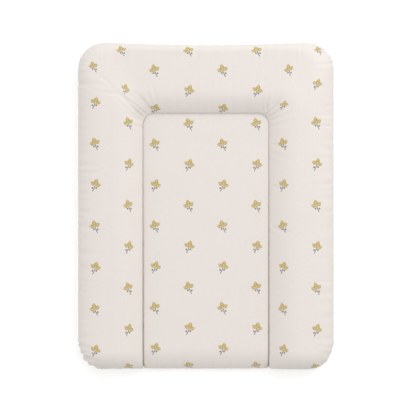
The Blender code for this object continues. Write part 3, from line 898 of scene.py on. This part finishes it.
grain = print_nodes.new("ShaderNodeTexVoronoi")
grain.feature = "SMOOTH_F1"
grain.inputs["Scale"].default_value = 1 / GRAIN_SIZE
grain.inputs["Smoothness"].default_value = 1.0
print_links.new(sheet_place.outputs["UV"], grain.inputs["Vector"])
embossed(print_nodes, print_links, grain.outputs["Distance"], GRAIN_DEPTH, film_shader)
least_roughness = FILM_ROUGHNESS - FILM_ROUGHNESS_RANGE / 2
roughness_change = ink("MULTIPLY_ADD", cloudiness, FILM_ROUGHNESS_RANGE, least_roughness)
film_shader.inputs["Specular IOR Level"].default_value = FILM_SHEEN
print_links.new(with_sprigs, film_shader.inputs["Base Color"])
print_links.new(roughness_change, film_shader.inputs["Roughness"])
cover.data.materials.append(printed)

# Bottom film: one plain sheet with a grip texture. It lies on the table, is lifted along the weld as
# the cushions fill, turns up at the rim, and in again to lie under the cover's seam allowance. Three
# round windows let the air out of the foam through the breather discs.

BASE_SPACING = 0.0060
BASE_TURN_UP = 0.004
BASE_SEAM_HEIGHT = SEAM_HEIGHT - CLEARANCE
RIM_START = 0.010
RIM_TOP = 0.005
RIM_END = 0.002
RIDGE_RUN = 0.022
RIDGE_END_RUN = 0.012
WINDOW_PATCH = 0.014
WINDOW_SEGMENTS = 24
WINDOW_RADIUS = 0.004
FAR_INSIDE = 1.0
vent_names = ("vent_disc_left", "vent_disc_centre", "vent_disc_right")
vent_middles = [(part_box(name)[0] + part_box(name)[1]) / 2 for name in vent_names]


def base_inset(inside):
    """How far inside the outline the bottom film lies, once it has turned up and in at the rim."""
    rim = [RIM_END, RIM_TOP, RIM_START, FAR_INSIDE]
    inset = [SEAM_INSET + SEAM_ALLOWANCE, SEAM_INSET, SEAM_INSET + BASE_TURN_UP, FAR_INSIDE]
    return np.interp(inside, rim, inset)


def ridge_height(x, y, inside):
    """How high the bottom film is lifted beside the weld. It lies flat again before the rim."""
    beside = np.abs(across_weld(x, y)) - WELD_HALF_WIDTH
    towards_rim = smooth_step((inside - RIM_START) / RIDGE_END_RUN)
    ridge = weld_level(y, inside) - 2 * FILM - CLEARANCE
    return ridge * towards_rim * (1 - smooth_step(beside / RIDGE_RUN))


def base_lines(half_size):
    """Places of the bottom film's lines, from its middle out to the end of its seam allowance."""
    flat = np.linspace(0, half_size - RIM_START, round((half_size - RIM_START) / BASE_SPACING) + 1)
    rim = half_size - np.array([(RIM_START + RIM_TOP) / 2, RIM_TOP, (RIM_TOP + RIM_END) / 2, RIM_END])
    right = np.concatenate([flat, rim])
    return np.concatenate([-right[:0:-1], right])


base_x, base_y = np.meshgrid(base_lines(half_width), base_lines(half_length))
base_inside = inside_outline(base_x, base_y)
base_plan_x, base_plan_y = in_plan(base_x, base_y, base_inset(base_inside) - base_inside)
rim_rise = np.interp(base_inside, [RIM_TOP, RIM_START], [BASE_SEAM_HEIGHT, 0.0])
base_z = rim_rise + ridge_height(base_x, base_y, base_inside)
base_places = np.stack([base_plan_x, base_plan_y, base_z], axis=-1)
base, _, _ = laid_sheet("cover_base_film", base_places)
bm = bmesh.new()
bm.from_mesh(base.data)
for middle in vent_middles:
    patch = []
    for face in bm.faces:
        past = face.calc_center_median() - middle
        if max(abs(past.x), abs(past.y)) < WINDOW_PATCH / 2:
            patch.append(face)
    bmesh.ops.delete(bm, geom=patch, context="FACES")
    patch_rim = []
    for edge in bm.edges:
        past = (edge.verts[0].co + edge.verts[1].co) / 2 - middle
        if edge.is_boundary and max(abs(past.x), abs(past.y)) < WINDOW_PATCH:
            patch_rim.append(edge)
    place = Matrix.Translation((middle.x, middle.y, 0.0))
    window = bmesh.ops.create_circle(bm, radius=WINDOW_RADIUS, segments=WINDOW_SEGMENTS, matrix=place)
    window_rim = list({edge for vert in window["verts"] for edge in vert.link_edges})
    bmesh.ops.bridge_loops(bm, edges=patch_rim + window_rim)
bmesh.ops.recalc_face_normals(bm, faces=bm.faces)
middle_face = min(bm.faces, key=lambda face: face.calc_center_median().length)
if middle_face.normal.z > 0:
    bmesh.ops.reverse_faces(bm, faces=bm.faces)
bm.to_mesh(base.data)
bm.free()
thicken_film(base)
finish_piece(base, "cover_base")

PLAIN_COLOUR = (0.80, 0.785, 0.755, 1.0)
DOT_PITCH = 0.0040
DOT_RADIUS_SHARE = 0.30
DOT_HEIGHT = 0.00018
DOT_STEEPNESS = 10.0
PLAIN_ROUGHNESS = 0.50
PLAIN_ROUGHNESS_RANGE = 0.12
PLAIN_DARKER_SHARE = 0.94
PLAIN_CLOUD_SCALE = 16.0
PLAIN_CLOUD_DETAIL = 4.0

plain, plain_nodes, plain_links, plain_shader = new_finish("plain_gripping_film")
plain_place = plain_nodes.new("ShaderNodeTexCoord").outputs["Object"]
dots = plain_nodes.new("ShaderNodeTexVoronoi")
dots.voronoi_dimensions = "2D"
dots.inputs["Scale"].default_value = 1 / DOT_PITCH
dots.inputs["Randomness"].default_value = 0.0
plain_links.new(plain_place, dots.inputs["Vector"])
dot_rise = number(plain_nodes, plain_links, "SUBTRACT", DOT_RADIUS_SHARE, dots.outputs["Distance"])
dot_rise = number(plain_nodes, plain_links, "MULTIPLY", dot_rise, DOT_STEEPNESS)
dot_rise = number(plain_nodes, plain_links, "MAXIMUM", dot_rise, 0.0)
dot_rise = number(plain_nodes, plain_links, "MINIMUM", dot_rise, 1.0)
embossed(plain_nodes, plain_links, dot_rise, DOT_HEIGHT, plain_shader)
plain_tone, plain_cloud = clouded(
    plain_nodes, plain_links, plain_place, PLAIN_COLOUR,
    PLAIN_DARKER_SHARE, PLAIN_CLOUD_SCALE, PLAIN_CLOUD_DETAIL,
)
plain_links.new(plain_tone, plain_shader.inputs["Base Color"])
least_roughness = PLAIN_ROUGHNESS - PLAIN_ROUGHNESS_RANGE / 2
plain_rough = number(
    plain_nodes, plain_links, "MULTIPLY_ADD", plain_cloud, PLAIN_ROUGHNESS_RANGE, least_roughness
)
plain_links.new(plain_rough, plain_shader.inputs["Roughness"])
base.data.materials.append(plain)

# Foam: one block for the pad and three for the bolster, mitred at the two head corners. Each is cut
# from open-cell foam, rounded by the film's pull, and lies loose between the two films.

FOAM_GAP = 0.0022
FOAM_LEAST_GAP = 0.0010
FOAM_WALL_SHARE = 0.7
FOAM_LOWER_INSET = 0.014
FOAM_UPRIGHT = 0.060
FOAM_SMOOTHING = 6
FOAM_WELD_GAP = 0.0010
POCKET_DEPTH = 0.0016
POCKET_RADIUS = 0.010
POCKET_RUN = 0.006
CUT_TOLERANCE = CLEARANCE / 100

flat_list = np.empty(len(cover.data.vertices) * 3)
cover.data.vertices.foreach_get("co", flat_list)
cover_final = np.empty_like(cover_places)
cover_final[cover_row, cover_column] = flat_list.reshape(-1, 3)
foam_skin = cover_final.copy()
for _ in range(FOAM_SMOOTHING):
    foam_skin[1:-1] = (foam_skin[:-2] + 2 * foam_skin[1:-1] + foam_skin[2:]) / 4
    foam_skin[:, 1:-1] = (foam_skin[:, :-2] + 2 * foam_skin[:, 1:-1] + foam_skin[:, 2:]) / 4
foam_skin -= outwards(foam_skin) * FOAM_GAP
cover_way = outwards(cover_final)
gap = ((cover_final - foam_skin) * cover_way).sum(axis=2, keepdims=True)
foam_skin -= cover_way * np.maximum(0, FILM + FOAM_LEAST_GAP - gap)

skin_places = [-LOWER_WALL, FOAM_UPRIGHT, FAR_INSIDE]
under_inset = np.interp(cover_inside, skin_places, [FOAM_LOWER_INSET, FOAM_UPRIGHT, FAR_INSIDE])
under_x, under_y = in_plan(cover_x, cover_y, under_inset - cover_inside)
under_z = FILM + 2 * CLEARANCE + ridge_height(cover_x, cover_y, under_inset)
for middle in vent_middles:
    from_vent = np.hypot(under_x - middle.x, under_y - middle.y)
    under_z += POCKET_DEPTH * (1 - smooth_step((from_vent - POCKET_RADIUS) / POCKET_RUN))
foam_under = np.stack([under_x, under_y, under_z], axis=-1)
foam_skin[..., 2] = np.maximum(foam_skin[..., 2], under_z + CLEARANCE)


def foam_block(name, chosen, cuts, node):
    """A closed block between the smoothed cover and the bottom film, where chosen, cut by planes."""
    bm = bmesh.new()
    row_count, column_count = chosen.shape
    bmesh.ops.create_grid(bm, x_segments=column_count - 1, y_segments=row_count - 1, size=0.5)
    row_of = bm.verts.layers.int.new("row")
    column_of = bm.verts.layers.int.new("column")
    outside = []
    for vert in bm.verts:
        vert[row_of] = round((vert.co.y + 0.5) * (row_count - 1))
        vert[column_of] = round((vert.co.x + 0.5) * (column_count - 1))
        if not chosen[vert[row_of], vert[column_of]]:
            outside.append(vert)
    bmesh.ops.delete(bm, geom=outside, context="VERTS")
    under = bm.verts[:]
    raised = bmesh.ops.extrude_face_region(bm, geom=bm.faces[:], use_keep_orig=True)["geom"]
    for vert in under:
        vert.co = foam_under[vert[row_of], vert[column_of]]
    for item in raised:
        if isinstance(item, bmesh.types.BMVert):
            item.co = foam_skin[item[row_of], item[column_of]]
    for point, way in cuts:
        everything = bm.verts[:] + bm.edges[:] + bm.faces[:]
        bmesh.ops.bisect_plane(
            bm, geom=everything, dist=CUT_TOLERANCE, plane_co=point, plane_no=way, clear_inner=True
        )
        bmesh.ops.holes_fill(bm, edges=[edge for edge in bm.edges if edge.is_boundary])
    bmesh.ops.recalc_face_normals(bm, faces=bm.faces)
    mesh = bpy.data.meshes.new(name)
    bm.to_mesh(mesh)
    bm.free()
    mesh.materials.append(open_cell_foam)
    block = bpy.data.objects.new(name, mesh)
    bpy.context.scene.collection.objects.link(block)
    finish_piece(block, node)


FOAM_COLOUR = (0.80, 0.72, 0.50, 1.0)
FOAM_DARKER_SHARE = 0.86
FOAM_CLOUD_SCALE = 9.0
FOAM_CLOUD_DETAIL = 2.0
FOAM_CELL = 0.0011
FOAM_ROUGHNESS = 0.95
FOAM_SHEEN = 0.2

open_cell_foam, foam_nodes, foam_links, foam_shader = new_finish("open_cell_foam")
foam_place = foam_nodes.new("ShaderNodeTexCoord").outputs["Object"]
cells = foam_nodes.new("ShaderNodeTexVoronoi")
cells.inputs["Scale"].default_value = 1 / FOAM_CELL
foam_links.new(foam_place, cells.inputs["Vector"])
embossed(foam_nodes, foam_links, cells.outputs["Distance"], FOAM_CELL / 3, foam_shader)
foam_tone, _ = clouded(
    foam_nodes, foam_links, foam_place, FOAM_COLOUR,
    FOAM_DARKER_SHARE, FOAM_CLOUD_SCALE, FOAM_CLOUD_DETAIL,
)
foam_shader.inputs["Roughness"].default_value = FOAM_ROUGHNESS
foam_shader.inputs["Specular IOR Level"].default_value = FOAM_SHEEN
foam_links.new(foam_tone, foam_shader.inputs["Base Color"])

above_seam = cover_inside > -LOWER_WALL * FOAM_WALL_SHARE
on_pad = (cover_across < -WELD_HALF_WIDTH - FOAM_WELD_GAP) & above_seam
on_bolster = (cover_across > WELD_HALF_WIDTH + FOAM_WELD_GAP) & above_seam
inner_corner = Vector((weld_x - WELD_CORNER_RADIUS, weld_y - WELD_CORNER_RADIUS, 0.0))
outer_corner = Vector((corner_x, -foot_corner_y, 0.0))
mitre = (outer_corner - inner_corner).normalized()
left_corner = Vector((-inner_corner.x, inner_corner.y, 0.0))
to_head_on_right = Vector((-mitre.y, mitre.x, 0.0))
to_head_on_left = Vector((mitre.y, mitre.x, 0.0))
right_cut = (inner_corner - to_head_on_right * CLEARANCE, -to_head_on_right)
left_cut = (left_corner - to_head_on_left * CLEARANCE, -to_head_on_left)
head_right_cut = (inner_corner + to_head_on_right * CLEARANCE, to_head_on_right)
head_left_cut = (left_corner + to_head_on_left * CLEARANCE, to_head_on_left)
foam_block("centre_pad_foam", on_pad, [], "centre_pad")
foam_block("side_bolster_left_foam", on_bolster & (cover_x < 0), [left_cut], "side_bolster_left")
foam_block("side_bolster_right_foam", on_bolster & (cover_x > 0), [right_cut], "side_bolster_right")
head_cuts = [head_left_cut, head_right_cut]
foam_block("head_bolster_foam", on_bolster & (cover_y > 0), head_cuts, "head_bolster")

# Breather discs: three thin moulded discs with a ring of pinholes, welded over the windows on the
# inside of the bottom film. They keep their solid shape and get the look of milky moulded plastic.

DISC_COLOUR = (0.74, 0.74, 0.72, 1.0)
DISC_DARKER_SHARE = 0.9
DISC_CLOUD_SCALE = 400.0
DISC_CLOUD_DETAIL = 2.0
DISC_GRAIN_DEPTH = 0.00002
DISC_ROUGHNESS = 0.34
DISC_MILKINESS = 0.1
DISC_MILKY_DEPTH = 0.001

milky_plastic, disc_nodes, disc_links, disc_shader = new_finish("milky_plastic")
disc_place = disc_nodes.new("ShaderNodeTexCoord").outputs["Object"]
disc_tone, disc_cloud = clouded(
    disc_nodes, disc_links, disc_place, DISC_COLOUR,
    DISC_DARKER_SHARE, DISC_CLOUD_SCALE, DISC_CLOUD_DETAIL,
)
embossed(disc_nodes, disc_links, disc_cloud, DISC_GRAIN_DEPTH, disc_shader)
disc_shader.inputs["Roughness"].default_value = DISC_ROUGHNESS
disc_shader.inputs["Subsurface Weight"].default_value = DISC_MILKINESS
disc_shader.inputs["Subsurface Scale"].default_value = DISC_MILKY_DEPTH
disc_links.new(disc_tone, disc_shader.inputs["Base Color"])
for name in vent_names:
    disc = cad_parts[name]
    disc.data.materials.clear()
    disc.data.materials.append(milky_plastic)
